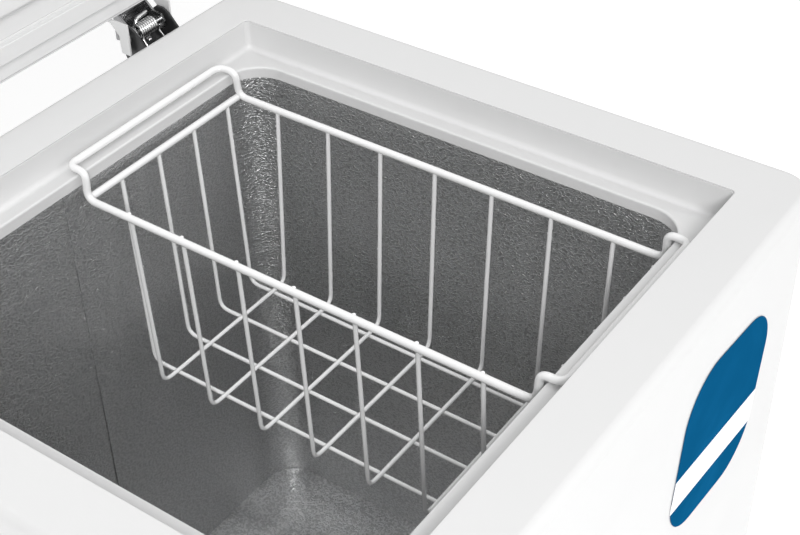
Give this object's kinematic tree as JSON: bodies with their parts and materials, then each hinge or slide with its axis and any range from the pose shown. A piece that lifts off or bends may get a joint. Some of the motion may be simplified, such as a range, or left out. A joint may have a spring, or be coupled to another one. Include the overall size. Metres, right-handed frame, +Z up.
{
  "type": "chest freezer",
  "caption": "Compact white chest freezer with a top-hinged insulated lid, stucco metal liner and a lift-out hanging wire basket.",
  "frame": {"origin": "on the floor, under the middle of the outline with the lid open", "axes": "+X to the right of someone standing in front, +Y to the back, +Z up"},
  "size_m": [0.551, 0.6266, 1.3653],
  "materials": {
    "white_steel": "gloss",
    "white_plastic": "satin",
    "stucco_aluminium": "embossed satin",
    "insulating_foam": "matte",
    "galvanised_steel": "satin",
    "black_steel": "satin",
    "bright_zinc": "polished",
    "copper_pipe": "satin",
    "black_rubber": "matte",
    "lid_seal": "matte",
    "coated_wire": "gloss",
    "blue_label": "satin",
    "green_lens": "gloss",
    "red_lens": "gloss"
  },
  "bodies": {
    "cabinet": {"body_wrap": "white_steel", "back_panel": "galvanised_steel", "base_pan": "galvanised_steel", "foam_core": "insulating_foam", "liner": "stucco_aluminium", "rim_frame": "white_plastic", "evaporator_coil": "copper_pipe", "condenser_coil": "copper_pipe", "drain_tube": "white_plastic", "foot_front_left": "black_rubber", "foot_front_right": "black_rubber", "foot_back_left": "black_rubber", "foot_back_right": "black_rubber", "compartment_walls": "galvanised_steel", "compartment_back_cover": "galvanised_steel", "side_vent_grille": "white_plastic", "compressor": "black_steel", "compressor_rail": "galvanised_steel", "compressor_mount_1": "black_rubber", "compressor_mount_2": "black_rubber", "compressor_mount_3": "black_rubber", "compressor_mount_4": "black_rubber", "relay_cover": "black_rubber", "discharge_pipe": "copper_pipe", "suction_pipe": "copper_pipe", "filter_drier": "copper_pipe", "cord_gland": "black_rubber", "control_bezel": "white_plastic", "thermostat": "galvanised_steel", "lamp_running": "green_lens", "lamp_warm": "red_lens", "front_label": "blue_label", "hinge_body_left": "black_steel", "hinge_pin_left": "bright_zinc", "hinge_spring_left": "bright_zinc", "body_screw_left_1": "bright_zinc", "body_screw_left_2": "bright_zinc", "hinge_body_right": "black_steel", "hinge_pin_right": "bright_zinc", "hinge_spring_right": "bright_zinc", "body_screw_right_1": "bright_zinc", "body_screw_right_2": "bright_zinc"},
    "lid": {"lid_shell": "white_steel", "lid_inner": "white_plastic", "lid_foam": "insulating_foam", "lid_gasket": "lid_seal", "lid_grip": "white_plastic", "hinge_leaf_left": "bright_zinc", "hinge_cover_left": "white_plastic", "lid_screw_left_1": "bright_zinc", "lid_screw_left_2": "bright_zinc", "hinge_leaf_right": "bright_zinc", "hinge_cover_right": "white_plastic", "lid_screw_right_1": "bright_zinc", "lid_screw_right_2": "bright_zinc"},
    "basket": {"wire_basket": "coated_wire"},
    "thermostat_knob": {"thermostat_knob": "white_plastic"},
    "drain_plug": {"drain_plug": "black_rubber"},
    "drain_cap": {"drain_cap": "white_plastic"}
  },
  "joints": [
    {"name": "lid_hinge", "type": "hinge", "parent": "cabinet", "child": "lid", "pos_m": [0, 0.2563, 0.791], "axis": [-1, 0, 0], "range_deg": [-90, 0]},
    {"name": "basket_lift", "type": "slide", "parent": "cabinet", "child": "basket", "axis": [0, 0, 1], "range_m": [0, 0.3]},
    {"name": "thermostat_turn", "type": "hinge", "parent": "cabinet", "child": "thermostat_knob", "pos_m": [0.202, -0.2937, 0.112], "axis": [0, -1, 0], "range_deg": [0, 270]},
    {"name": "drain_plug_pull", "type": "slide", "parent": "cabinet", "child": "drain_plug", "axis": [0, 0, 1], "range_m": [0, 0.05]},
    {"name": "drain_cap_pull", "type": "slide", "parent": "cabinet", "child": "drain_cap", "axis": [0, -1, 0], "range_m": [0, 0.03]}
  ]
}
